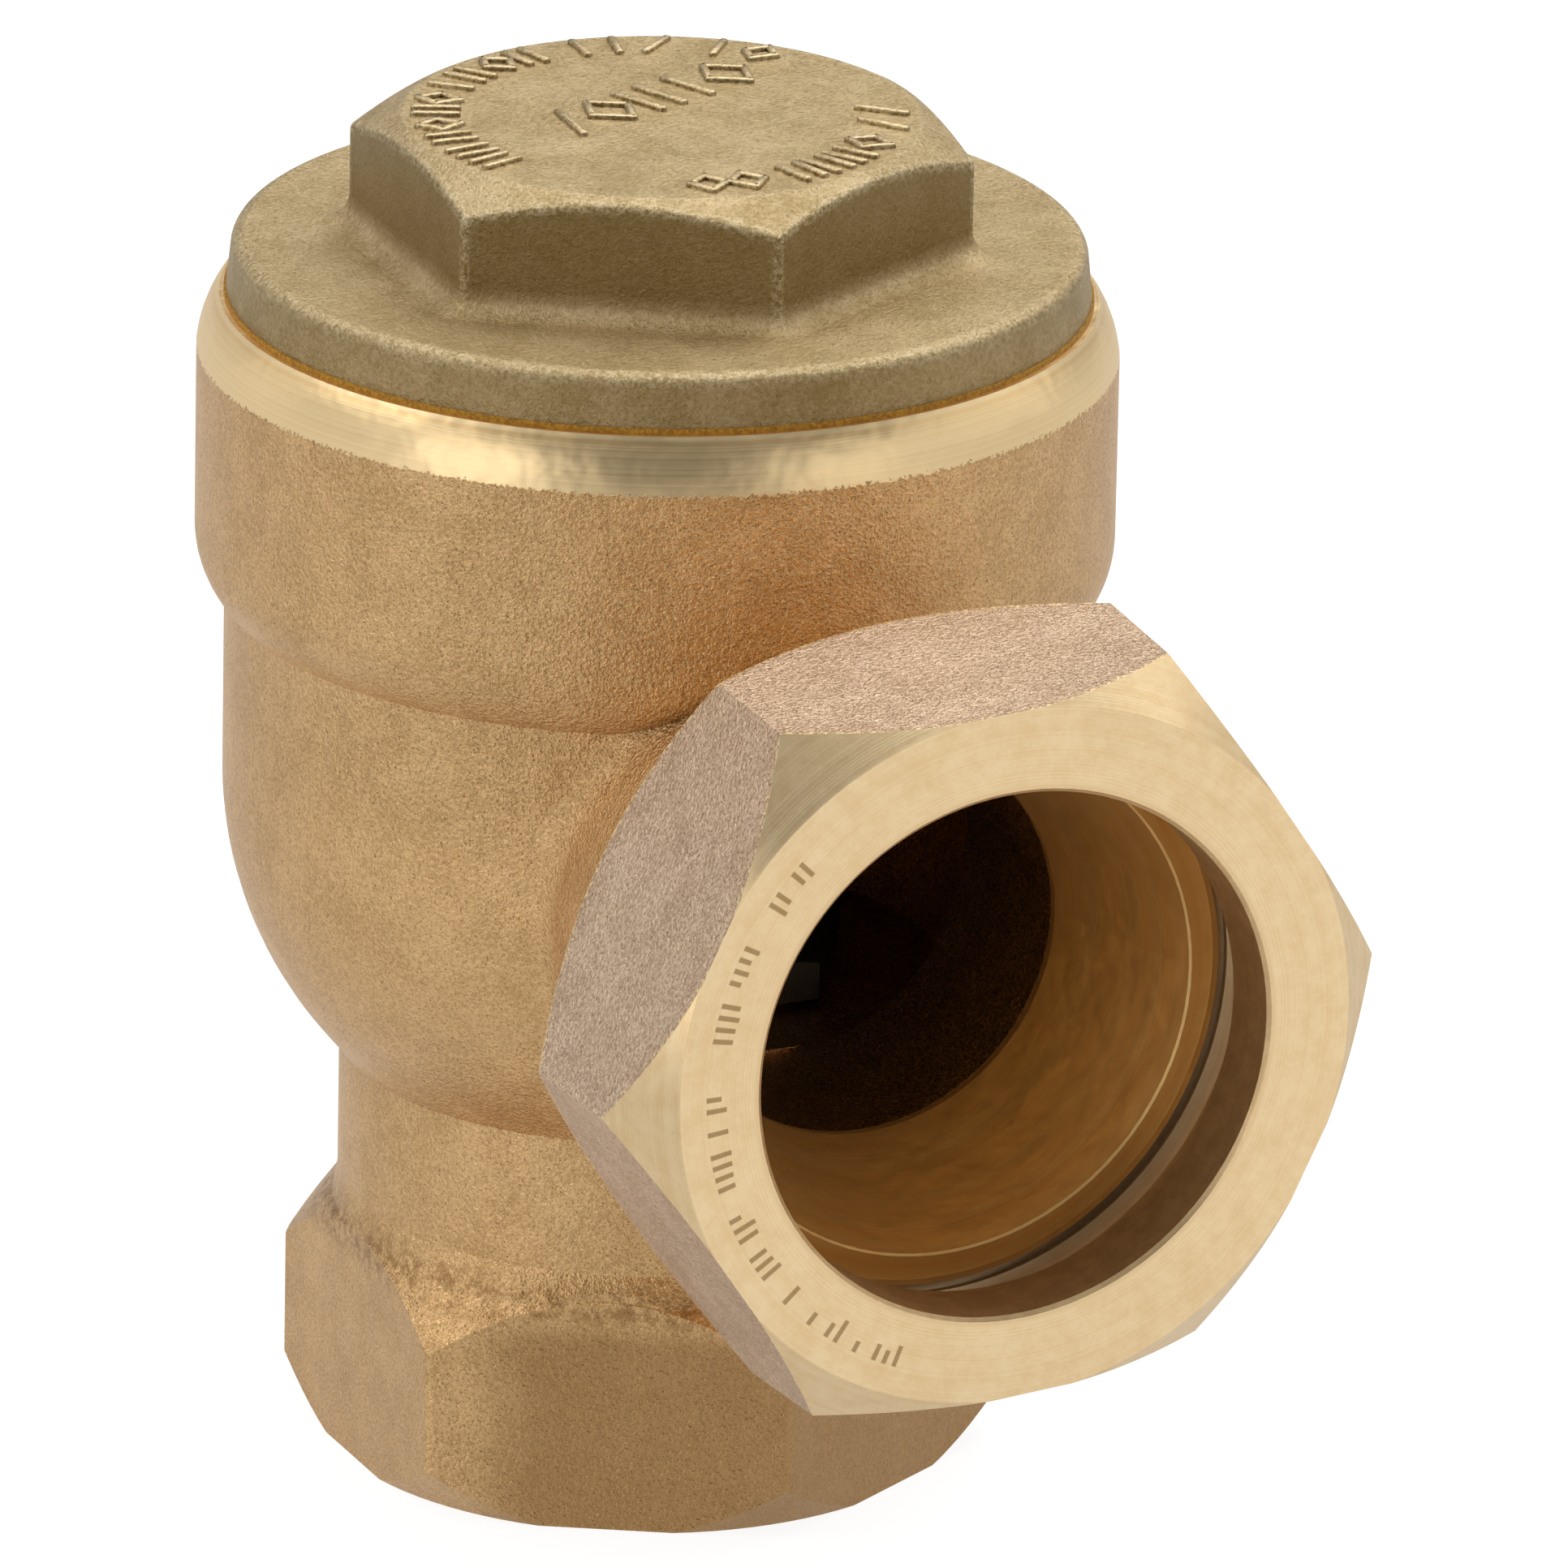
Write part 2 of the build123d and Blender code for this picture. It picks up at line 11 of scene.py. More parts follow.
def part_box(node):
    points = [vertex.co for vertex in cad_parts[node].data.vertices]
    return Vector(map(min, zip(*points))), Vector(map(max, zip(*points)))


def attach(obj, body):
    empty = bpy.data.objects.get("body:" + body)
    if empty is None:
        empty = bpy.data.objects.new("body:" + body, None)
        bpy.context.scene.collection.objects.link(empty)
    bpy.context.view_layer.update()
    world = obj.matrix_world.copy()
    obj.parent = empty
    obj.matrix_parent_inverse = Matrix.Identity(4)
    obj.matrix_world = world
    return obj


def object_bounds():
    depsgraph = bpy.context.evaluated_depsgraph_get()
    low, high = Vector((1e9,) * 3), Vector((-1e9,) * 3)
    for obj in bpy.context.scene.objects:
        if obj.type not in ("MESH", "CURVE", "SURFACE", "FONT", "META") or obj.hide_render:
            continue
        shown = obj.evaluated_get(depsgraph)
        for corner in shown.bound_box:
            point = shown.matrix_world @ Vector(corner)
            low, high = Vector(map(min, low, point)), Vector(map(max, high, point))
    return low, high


MM = 0.001
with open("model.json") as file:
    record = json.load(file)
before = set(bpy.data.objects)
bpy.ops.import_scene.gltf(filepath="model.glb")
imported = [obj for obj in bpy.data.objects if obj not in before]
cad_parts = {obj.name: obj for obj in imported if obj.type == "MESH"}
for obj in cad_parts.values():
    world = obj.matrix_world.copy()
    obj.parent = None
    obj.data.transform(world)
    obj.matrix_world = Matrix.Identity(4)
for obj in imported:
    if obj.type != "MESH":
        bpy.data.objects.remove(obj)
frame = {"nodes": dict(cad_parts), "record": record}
cad_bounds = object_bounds()
mounts = {mount["name"]: mount for mount in frame["record"]["mounts"]}

# ---- places on the CAD model, in metres, from the frame where it gives them ----
UNION_AXIS = Vector(mounts["inlet_union"]["pos_m"])
BODY_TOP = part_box("trap_body")[1].z
COVER_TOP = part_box("cover")[1].z
COVER_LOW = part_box("cover_gasket")[1].z
NUT_FACE = -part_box("union_nut")[0].y
NUT_BACK = -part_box("union_nut")[1].y
NUT_FACE_R = 23.25 * MM
NUT_CONE_SLOPE = 0.9
BEVEL_DEPTH = 3.61 * MM
HEAD_LOW = COVER_LOW + 4.0 * MM
# Radii and heights where the materials change
CHAMBER_MOUTH_R = 27.1 * MM
CHAMBER_MOUTH_Z = 65.5 * MM
UNION_END_Y = -38.0 * MM
UNION_BORE_R = 17.13 * MM
UNION_BORE_Y = -33.35 * MM
UNION_CUT_Y = -33.2 * MM
OUTLET_BORE_R = 16.5 * MM
OUTLET_BORE_Z = 23.5 * MM
OUTLET_HEX_Z = 15.4 * MM
NUT_BORE_R = 22.1 * MM
NUT_LIP_R = 18.0 * MM
# Size of the grain in each cast skin
BODY_GRAIN = 0.26 * MM
COVER_GRAIN = 0.34 * MM
NUT_GRAIN = 0.30 * MM


# ---- shader building ----
class Shader:
    """A principled material with short calls for the nodes that feed it."""

    def __init__(self, name, **fixed):
        self.material = bpy.data.materials.new(name)
        self.material.use_nodes = True
        self.nodes = self.material.node_tree.nodes
        self.links = self.material.node_tree.links
        self.surface = self.nodes["Principled BSDF"]
        place = self.add("ShaderNodeTexCoord").outputs
        self.coord = place["Object"]
        self.facing = place["Normal"]
        for key, value in fixed.items():
            self.surface.inputs[key.replace("_", " ")].default_value = value

    def add(self, kind, **settings):
        node = self.nodes.new(kind)
        for key, value in settings.items():
            setattr(node, key, value)
        return node

    def join(self, value, socket):
        if isinstance(value, bpy.types.NodeSocket):
            self.links.new(value, socket)
        elif value is not None:
            socket.default_value = value

    def math(self, operation, a, b=None, clamp=False):
        node = self.add("ShaderNodeMath", operation=operation, use_clamp=clamp)
        self.join(a, node.inputs[0])
        self.join(b, node.inputs[1])
        return node.outputs[0]

    def times(self, first, *others):
        """Product of all the values."""
        for other in others:
            first = self.math("MULTIPLY", first, other)
        return first

    def vector(self, operation, a, b):
        node = self.add("ShaderNodeVectorMath", operation=operation)
        self.join(a, node.inputs[0])
        self.join(b, node.inputs[1])
        return node.outputs["Vector"]

    def axes(self, coord=None):
        node = self.add("ShaderNodeSeparateXYZ")
        self.join(coord or self.coord, node.inputs[0])
        return node.outputs

    def combine(self, x, y, z):
        node = self.add("ShaderNodeCombineXYZ")
        for value, socket in zip((x, y, z), node.inputs):
            self.join(value, socket)
        return node.outputs[0]

    def noise(self, size, detail=2.0, roughness=0.5, coord=None, offset=0.0):
        """Noise from 0 to 1 whose lumps are about size metres."""
        node = self.add("ShaderNodeTexNoise")
        moved = self.vector("ADD", coord or self.coord, (offset, offset, offset))
        self.join(moved, node.inputs["Vector"])
        node.inputs["Scale"].default_value = 1 / size
        node.inputs["Detail"].default_value = detail
        node.inputs["Roughness"].default_value = roughness
        return node.outputs["Fac"]

    def scatter(self, value):
        """A random number from 0 to 1 for each value given."""
        node = self.add("ShaderNodeTexWhiteNoise", noise_dimensions="1D")
        self.join(value, node.inputs["W"])
        return node.outputs["Value"]

    def fade(self, value, start, end, low=0.0, high=1.0):
        """low below start, high above end, smooth between; start may be above end."""
        node = self.add("ShaderNodeMapRange", interpolation_type="SMOOTHSTEP", clamp=True)
        self.join(value, node.inputs["Value"])
        if start > end:
            start, end, low, high = end, start, high, low
        for key, number in (("From Min", start), ("From Max", end), ("To Min", low), ("To Max", high)):
            node.inputs[key].default_value = number
        return node.outputs["Result"]

    def mix(self, share, a, b):
        """Colour a where share is 0 and b where it is 1."""
        node = self.add("ShaderNodeMix", data_type="RGBA")
        self.join(share, node.inputs["Factor"])
        self.join(self.colour(a), node.inputs["A"])
        self.join(self.colour(b), node.inputs["B"])
        return node.outputs["Result"]

    def blend(self, share, a, b):
        """Number a where share is 0 and b where it is 1."""
        node = self.add("ShaderNodeMix", data_type="FLOAT")
        self.join(share, node.inputs["Factor"])
        self.join(a, node.inputs["A"])
        self.join(b, node.inputs["B"])
        return node.outputs["Result"]

    @staticmethod
    def colour(value):
        return (*value, 1.0) if isinstance(value, tuple) and len(value) == 3 else value

    def bump(self, height, distance, strength=1.0, below=None):
        node = self.add("ShaderNodeBump")
        self.join(distance, node.inputs["Distance"])
        self.join(strength, node.inputs["Strength"])
        self.join(height, node.inputs["Height"])
        self.join(below, node.inputs["Normal"])
        return node.outputs["Normal"]

    def openness(self, reach, inside=False):
        """1 on open stretches, less in creases or, seen from inside, less on edges that stand out."""
        node = self.add("ShaderNodeAmbientOcclusion", samples=5, only_local=True, inside=inside)
        node.inputs["Distance"].default_value = reach
        return node.outputs["AO"]

    def worn_edge(self, reach):
        """1 on edges and small marks that stand out, 0 on flat stretches."""
        return self.fade(self.openness(reach, inside=True), 0.95, 0.75)

    def finish(self, colour, roughness, normal=None):
        self.join(self.colour(colour), self.surface.inputs["Base Color"])
        self.join(roughness, self.surface.inputs["Roughness"])
        self.join(normal, self.surface.inputs["Normal"])
        return self.material


def radius_from(sh, centre, first, second):
    """Distance from the line through centre that is square to the two named axes."""
    moved = sh.axes(sh.vector("SUBTRACT", sh.coord, tuple(centre)))
    squares = [sh.times(moved[axis], moved[axis]) for axis in (first, second)]
    return sh.math("SQRT", sh.math("ADD", *squares))


def cast_grain(sh, size, detail=2.0, roughness=0.5):
    """Noises of a sand-cast skin: lumps of about size metres, a sandy tooth and slow swells."""
    peel = sh.noise(size, detail=detail, roughness=roughness, offset=3.0)
    tooth = sh.noise(0.5 * size, detail=detail - 0.5, roughness=roughness)
    swell = sh.noise(12.0 * size, detail=2.0, offset=7.0)
    return {"peel": peel, "tooth": tooth, "swell": swell, "height": sh.blend(0.35, peel, tooth)}


def cast_colour(sh, skin, blotch, grain_share, colours, pits):
    """Colour of a cast skin: deep to light with its grain and blotches, and dark in its pits."""
    deep, light, pit = colours
    pit_rim, pit_floor, pit_share = pits
    tone = sh.blend(grain_share, blotch, skin["height"])
    base = sh.mix(sh.fade(tone, 0.38, 0.62), deep, light)
    return sh.mix(sh.fade(skin["tooth"], pit_rim, pit_floor, 0.0, pit_share), base, pit)


def lathe_lines(sh, track, pitch):
    """Height of turning marks: noise that depends only on the place along the cut."""
    place = sh.combine(track, 0.0, 0.0)
    fine = sh.noise(pitch, detail=3.0, roughness=0.7, coord=place)
    broad = sh.noise(pitch * 7, detail=1.0, coord=place, offset=2.0)
    return sh.blend(0.3, fine, broad)


def union_of(sh, masks):
    """1 where any of the masks is 1."""
    whole = masks[0]
    for mask in masks[1:]:
        whole = sh.math("MAXIMUM", whole, mask)
    return whole


# ---- materials ----
BRONZE_LIGHT = (0.85, 0.55, 0.27)
BRONZE_DEEP = (0.61, 0.37, 0.16)
BRONZE_PIT = (0.26, 0.13, 0.045)
# Dark brown for painted shade in the body's creases and recesses.
PAINTED_CREASE_SHADE = (0.16, 0.08, 0.03)
TURNED_GOLD = (1.0, 0.78, 0.45)
TURNED_SHADE = (0.93, 0.65, 0.31)
BORE_GOLD = (1.0, 0.73, 0.33)
BORE_SHADE = (0.97, 0.62, 0.22)
FOOT_BROWN = (0.37, 0.20, 0.075)


def body_areas(sh, ragged):
    """Masks of the body's turned outside and of its turned bores, and the place along their cuts."""
    _, y, z = sh.axes()
    bore_r = radius_from(sh, (0, 0, 0), 0, 1)
    union_r = radius_from(sh, UNION_AXIS, 0, 2)
    bevel_foot = BODY_TOP - BEVEL_DEPTH
    bevel = sh.fade(sh.math("ADD", z, ragged), bevel_foot - 0.04 * MM, bevel_foot + 0.04 * MM)
    union_end = sh.fade(y, UNION_END_Y + 0.1 * MM, UNION_END_Y - 0.1 * MM)
    opening = sh.times(sh.fade(bore_r, CHAMBER_MOUTH_R + 0.1 * MM, CHAMBER_MOUTH_R - 0.1 * MM),
                       sh.fade(z, CHAMBER_MOUTH_Z - 0.5 * MM, CHAMBER_MOUTH_Z + 0.5 * MM))
    in_union = sh.times(sh.fade(y, UNION_BORE_Y + 0.15 * MM, UNION_BORE_Y - 0.15 * MM),
                        sh.fade(union_r, UNION_BORE_R + 0.03 * MM, UNION_BORE_R - 0.03 * MM))
    outlet = sh.times(sh.fade(bore_r, OUTLET_BORE_R + 0.1 * MM, OUTLET_BORE_R - 0.1 * MM),
                      sh.fade(z, OUTLET_BORE_Z + 0.5 * MM, OUTLET_BORE_Z - 0.5 * MM))
    on_union = sh.fade(y, UNION_CUT_Y + 0.2 * MM, UNION_CUT_Y - 0.2 * MM)
    track = sh.blend(on_union, sh.math("ADD", z, bore_r), sh.math("ADD", y, union_r))
    return union_of(sh, (bevel, union_end, opening)), union_of(sh, (in_union, outlet)), track


def hexagon_darkening(sh):
    """Darker brown low on the outlet hexagon's flats, fading out towards its left side, and specks of it
    along the top of the hexagon.
    """
    x, _, z = sh.axes()
    flats = sh.times(sh.fade(z, 15.0 * MM, 12.5 * MM, 0.0, 0.65), sh.fade(x, -19.0 * MM, -14.0 * MM))
    specks = sh.fade(sh.noise(0.9 * MM, detail=4.0, roughness=0.7, offset=17.0), 0.40, 0.64)
    off_top = sh.math("ABSOLUTE", sh.math("SUBTRACT", z, OUTLET_HEX_Z))
    band = sh.fade(off_top, 2.3 * MM, 0.3 * MM, 0.0, 0.85)
    return sh.math("MAXIMUM", flats, sh.times(specks, band))


def body_bronze():
    """Sand-cast bronze; turned on the bevel, the top face, the union end and inside the bores."""
    sh = Shader("cast_bronze", Metallic=1.0)
    skin = cast_grain(sh, BODY_GRAIN)
    ragged = sh.times(sh.math("SUBTRACT", skin["peel"], 0.5), 1.1 * MM)
    outside, bores, track = body_areas(sh, ragged)
    turned = sh.math("MAXIMUM", outside, bores)
    blotch = sh.noise(5.0 * MM, detail=5.0, roughness=0.75, offset=11.0)
    tan = cast_colour(sh, skin, blotch, 0.65, (BRONZE_DEEP, BRONZE_LIGHT, BRONZE_PIT), (0.40, 0.26, 0.7))
    tan = sh.mix(hexagon_darkening(sh), tan, FOOT_BROWN)
    # Painted shade: the colour goes to dark brown where the ambient-occlusion node finds the place
    # enclosed, in creases and recesses.
    tan = sh.mix(sh.fade(sh.openness(2.5 * MM), 0.72, 0.40, 0.0, 0.85), tan, PAINTED_CREASE_SHADE)
    lines = lathe_lines(sh, track, 0.14 * MM)
    gold = sh.mix(sh.fade(lines, 0.35, 0.65), TURNED_SHADE, TURNED_GOLD)
    gold = sh.mix(bores, gold, sh.mix(sh.fade(lines, 0.35, 0.65), BORE_SHADE, BORE_GOLD))
    cast_rough = sh.fade(skin["tooth"], 0.3, 0.7, 0.25, 0.41)
    rough = sh.blend(turned, cast_rough, sh.fade(lines, 0.3, 0.7, 0.32, 0.42))
    rough = sh.blend(bores, rough, 0.55)
    height = sh.blend(turned, skin["height"], sh.times(lines, 0.06))
    broad = sh.bump(skin["swell"], 0.40 * MM, 0.5)
    depth = sh.blend(sh.fade(sh.axes()[2], 46.0 * MM, 54.0 * MM), 0.18 * MM, 0.28 * MM)
    return sh.finish(sh.mix(turned, tan, gold), rough, sh.bump(height, depth, below=broad))


COVER_LIGHT = (0.71, 0.55, 0.315)
COVER_DEEP = (0.44, 0.315, 0.14)
# Dark colour for the real pits of the grain and for painted shade in creases.
COVER_PIT_AND_CREASE_SHADE = (0.12, 0.075, 0.025)
# Deep brown for painted shade on the cover head's upright sides.
COVER_PAINTED_SIDE_SHADE = (0.19, 0.118, 0.024)
COVER_RUBBED = (0.98, 0.86, 0.60)


def cover_brass():
    """Olive sand-cast brass, coarse, bright where edges have rubbed."""
    sh = Shader("cover_brass", Metallic=1.0)
    skin = cast_grain(sh, COVER_GRAIN, 4.0, 0.7)
    z = sh.axes()[2]
    blotch = sh.noise(5.0 * MM, detail=5.0, roughness=0.75, offset=5.0)
    base = cast_colour(sh, skin, blotch, 0.65, (COVER_DEEP, COVER_LIGHT, COVER_PIT_AND_CREASE_SHADE), (0.42, 0.28, 0.75))
    # Painted shade: the upright sides of the head are darkened towards a deep brown, more on the head than
    # below it.
    on_head = sh.fade(z, HEAD_LOW, HEAD_LOW + 1.5 * MM, 0.4, 0.68)
    upright = sh.fade(sh.axes(sh.facing)[2], 0.75, 0.35)
    base = sh.mix(sh.times(upright, on_head), base, COVER_PAINTED_SIDE_SHADE)
    # Painted shade: darker towards the pit colour where the ambient-occlusion node finds creases and
    # recesses.
    base = sh.mix(sh.fade(sh.openness(2.0 * MM), 0.78, 0.45, 0.0, 0.6), base, COVER_PIT_AND_CREASE_SHADE)
    on_marks = sh.fade(z, COVER_TOP - 0.02 * MM, COVER_TOP + 0.1 * MM)
    off_rim = sh.fade(z, COVER_LOW + 1.5 * MM, COVER_LOW + 2.5 * MM, 0.0, 0.95)
    rubbed = sh.times(sh.worn_edge(0.7 * MM), sh.fade(skin["height"], 0.42, 0.58),
                      sh.blend(on_marks, off_rim, 0.25))
    base = sh.mix(rubbed, base, COVER_RUBBED)
    skirt = sh.fade(z, COVER_LOW - 0.05 * MM, COVER_LOW - 0.15 * MM)
    lines = lathe_lines(sh, sh.math("ADD", z, radius_from(sh, (0, 0, 0), 0, 1)), 0.09 * MM)
    base = sh.mix(skirt, base, TURNED_GOLD)
    rough = sh.blend(skirt, sh.fade(skin["tooth"], 0.3, 0.7, 0.34, 0.48), 0.3)
    height = sh.blend(skirt, skin["height"], sh.times(lines, 0.06))
    depth = sh.blend(on_marks, 0.24 * MM, 0.07 * MM)
    broad = sh.bump(skin["swell"], 0.35 * MM, 0.5)
    return sh.finish(base, rough, sh.bump(height, depth, below=broad))


NUT_LIGHT = (0.82, 0.62, 0.45)
NUT_DEEP = (0.53, 0.365, 0.235)
NUT_PIT = (0.26, 0.15, 0.08)
NUT_GOLD = (0.96, 0.74, 0.44)
NUT_GOLD_SHADE = (0.86, 0.61, 0.32)
NUT_TARNISH = (0.62, 0.38, 0.16)
ETCHED_BROWN = (0.36, 0.20, 0.065)
TICK_TURNS = 1 / 170
TICK_ARC = (0.118, 0.440)
TICK_INNER_R = 19.75 * MM
TICK_UNEVEN = 0.9 * MM
TICK_OUTER_R = 21.41 * MM


def nut_ticks(sh, union_r, turns):
    """Generic etched ticks of uneven length on an arc of the nut's face, 0 to 1."""
    place = sh.math("DIVIDE", turns, TICK_TURNS)
    cell = sh.math("FLOOR", place)
    chance = sh.scatter(cell)
    shortened = sh.times(sh.scatter(sh.math("ADD", cell, 0.5)), TICK_UNEVEN)
    inner = sh.math("ADD", TICK_INNER_R, shortened)
    within = sh.fade(sh.math("SUBTRACT", union_r, inner), -0.04 * MM, 0.04 * MM)
    short_of_rim = sh.fade(union_r, TICK_OUTER_R + 0.04 * MM, TICK_OUTER_R - 0.04 * MM)
    first, last = TICK_ARC
    arc = sh.times(sh.fade(turns, first, first + 0.001), sh.fade(turns, last, last - 0.001))
    across = sh.math("FRACT", place)
    stroke = sh.times(sh.fade(across, 0.22, 0.34), sh.fade(across, 0.78, 0.66))
    return sh.times(within, short_of_rim, arc, stroke, sh.fade(chance, 0.30, 0.31))


def nut_areas(sh, union_r, ragged):
    """Masks of the nut's turned surfaces, of its front face and of its bore."""
    y = sh.axes()[1]
    reach = sh.math("ADD", union_r, ragged)
    limits = (NUT_FACE_R - 0.10 * MM, NUT_FACE_R - 0.02 * MM)
    front = sh.math("SUBTRACT", reach, sh.times(sh.math("ADD", y, NUT_FACE), NUT_CONE_SLOPE))
    back = sh.math("ADD", reach, sh.times(sh.math("ADD", y, NUT_BACK), NUT_CONE_SLOPE))
    face = sh.fade(y, -NUT_FACE + 0.08 * MM, -NUT_FACE + 0.03 * MM)
    rear = sh.fade(y, -NUT_BACK - 0.08 * MM, -NUT_BACK - 0.03 * MM)
    bore = sh.fade(union_r, NUT_BORE_R + 0.1 * MM, NUT_BORE_R - 0.1 * MM)
    cones = (sh.fade(front, *limits), sh.fade(back, *limits))
    return union_of(sh, (*cones, face, rear, bore)), face, sh.math("SUBTRACT", bore, face, clamp=True)


def nut_bronze():
    """Pinkish cast flats; turned cones, faces, bore and thread."""
    sh = Shader("nut_bronze", Metallic=1.0)
    skin = cast_grain(sh, NUT_GRAIN, 2.5, 0.55)
    y = sh.axes()[1]
    union_r = radius_from(sh, UNION_AXIS, 0, 2)
    turned, face, bore = nut_areas(sh, union_r, sh.fade(skin["peel"], 0.45, 0.75, 0.0, 0.5 * MM))
    blotch = sh.noise(4.0 * MM, detail=5.0, roughness=0.75, offset=9.0)
    cast = cast_colour(sh, skin, blotch, 0.70, (NUT_DEEP, NUT_LIGHT, NUT_PIT), (0.42, 0.30, 0.8))
    lines = lathe_lines(sh, sh.math("ADD", y, union_r), 0.12 * MM)
    stain = sh.noise(1.6 * MM, detail=5.0, roughness=0.75, offset=13.0)
    gold = sh.mix(sh.fade(sh.blend(0.4, lines, stain), 0.38, 0.60), NUT_GOLD_SHADE, NUT_GOLD)
    lip = sh.fade(union_r, NUT_LIP_R + 0.4 * MM, NUT_LIP_R - 0.4 * MM, 0.0, 0.5)
    gold = sh.mix(sh.times(lip, sh.fade(stain, 0.35, 0.6)), gold, NUT_TARNISH)
    offset = sh.axes(sh.vector("SUBTRACT", sh.coord, tuple(UNION_AXIS)))
    angle = sh.math("ARCTAN2", offset[0], offset[2])
    turns = sh.math("FRACT", sh.math("DIVIDE", sh.math("SUBTRACT", 0.0, angle), 2 * math.pi))
    etched = sh.times(nut_ticks(sh, union_r, turns), face)
    gold = sh.mix(sh.times(etched, 0.7), gold, ETCHED_BROWN)
    cast_rough = sh.fade(skin["tooth"], 0.3, 0.7, 0.28, 0.46)
    rough = sh.blend(turned, cast_rough, sh.fade(lines, 0.3, 0.7, 0.30, 0.40))
    rough = sh.blend(sh.math("MAXIMUM", etched, bore), rough, 0.5)
    height = sh.blend(turned, skin["height"], sh.times(lines, 0.06))
    return sh.finish(sh.mix(turned, cast, gold), rough, sh.bump(height, 0.36 * MM))


def gasket_fibre():
    """Amber gasket fibre with fine flecks."""
    sh = Shader("gasket_fibre", Specular_IOR_Level=0.3)
    flecks = sh.noise(0.25 * MM, detail=2.0, roughness=0.7)
    colour = sh.mix(sh.fade(flecks, 0.35, 0.65), (0.34, 0.15, 0.01), (0.56, 0.29, 0.03))
    return sh.finish(colour, 0.6, sh.bump(flecks, 0.05 * MM))


def turned_metal(name, dark, light, low_rough, high_rough, pitch=0.1 * MM):
    """Lathe-turned metal round the body axis."""
    sh = Shader(name, Metallic=1.0)
    lines = lathe_lines(sh, sh.math("ADD", sh.axes()[2], radius_from(sh, (0, 0, 0), 0, 1)), pitch)
    stain = sh.noise(3.0 * MM, detail=3.0, roughness=0.6)
    colour = sh.mix(sh.fade(sh.blend(0.5, lines, stain), 0.35, 0.65), dark, light)
    rough = sh.fade(lines, 0.3, 0.7, low_rough, high_rough)
    return sh.finish(colour, rough, sh.bump(lines, 0.01 * MM))


MATERIALS = {
    "cast_bronze": body_bronze(),
    "cover_brass": cover_brass(),
    "nut_bronze": nut_bronze(),
    "gasket_fibre": gasket_fibre(),
    "soft_copper": turned_metal("soft_copper", (0.55, 0.22, 0.12), (0.80, 0.40, 0.26), 0.35, 0.5),
    # Painted shade: the valve parts inside the chamber get a near-black steel so they read as dark as the
    # chamber's shade.
    "valve_steel": turned_metal("valve_steel", (0.08, 0.07, 0.058), (0.15, 0.135, 0.115), 0.5, 0.6),
    "diaphragm_steel": turned_metal("diaphragm_steel", (0.24, 0.23, 0.205), (0.38, 0.365, 0.33), 0.35, 0.5,
                                    pitch=0.3 * MM),
    "element_brass": turned_metal("element_brass", (0.52, 0.36, 0.13), (0.80, 0.62, 0.32), 0.25, 0.4),
}


def dress_nodes():
    """Gives every CAD node the material of its slot."""
    for part in frame["record"]["subparts"]:
        node = frame["nodes"][part["node"]]
        node.data.materials.clear()
        node.data.materials.append(MATERIALS[part["material_slot"]])


def add_object(name, data):
    piece = bpy.data.objects.new(name, data)
    bpy.context.scene.collection.objects.link(piece)
    return piece


# ---- raised cast marks on the cover ----
MARK_HEIGHT = 0.32 * MM
MARK_SINK = 0.25 * MM
MARK_STROKE = 0.58 * MM
MARK_ROUND = 0.2 * MM
MARK_SHAPES = {
    "bar": [((0.0, 0.0), (0.0, 1.0))],
    "slope": [((-0.25, 0.0), (0.25, 1.0))],
    "pair": [((-0.24, 0.0), (-0.24, 1.0)), ((0.24, 0.0), (0.24, 1.0))],
    "diamond": [((0.0, 0.0), (0.40, 0.5)), ((0.40, 0.5), (0.0, 1.0)),
                ((0.0, 1.0), (-0.40, 0.5)), ((-0.40, 0.5), (0.0, 0.0))],
}


def add_stroke(mesh, start, stop):
    """A raised bar with rounded edges and ends on the cover's top."""
    along = stop - start
    middle = (start + stop) / 2
    place = Matrix.Translation((middle.x, middle.y, COVER_TOP + (MARK_HEIGHT - MARK_SINK) / 2))
    turn = Matrix.Rotation(math.atan2(along.y, along.x), 4, "Z")
    size = Matrix.Diagonal((along.length + MARK_STROKE, MARK_STROKE, MARK_HEIGHT + MARK_SINK, 1.0))
    made = bmesh.ops.create_cube(mesh, size=1.0, matrix=place @ turn @ size)
    edges = {edge for vert in made["verts"] for edge in vert.link_edges}
    raised = [edge for edge in edges if max(v.co.z for v in edge.verts) > COVER_TOP]
    bmesh.ops.bevel(mesh, geom=raised, offset=MARK_ROUND, segments=3, affect="EDGES", profile=0.5)


def add_mark(mesh, shape, foot, heading, height):
    """One mark whose foot is at a place on the cover and whose top points along heading, in radians."""
    rise = Vector((math.cos(heading), math.sin(heading))) * height
    side = Vector((rise.y, -rise.x))
    for start, stop in MARK_SHAPES[shape]:
        ends = [foot + side * across + rise * up for across, up in (start, stop)]
        add_stroke(mesh, *ends)


def mark_arc(mesh, rng, start, stop, inner, height):
    """Marks that stand round the cover's edge from one angle to another, in degrees."""
    angle = start
    while angle < stop:
        heading = math.radians(angle)
        foot = Vector((math.cos(heading), math.sin(heading))) * inner
        add_mark(mesh, rng.choice(sorted(MARK_SHAPES)), foot, heading, height)
        angle += rng.choice((9.5, 10.5, 11.5, 16.0))


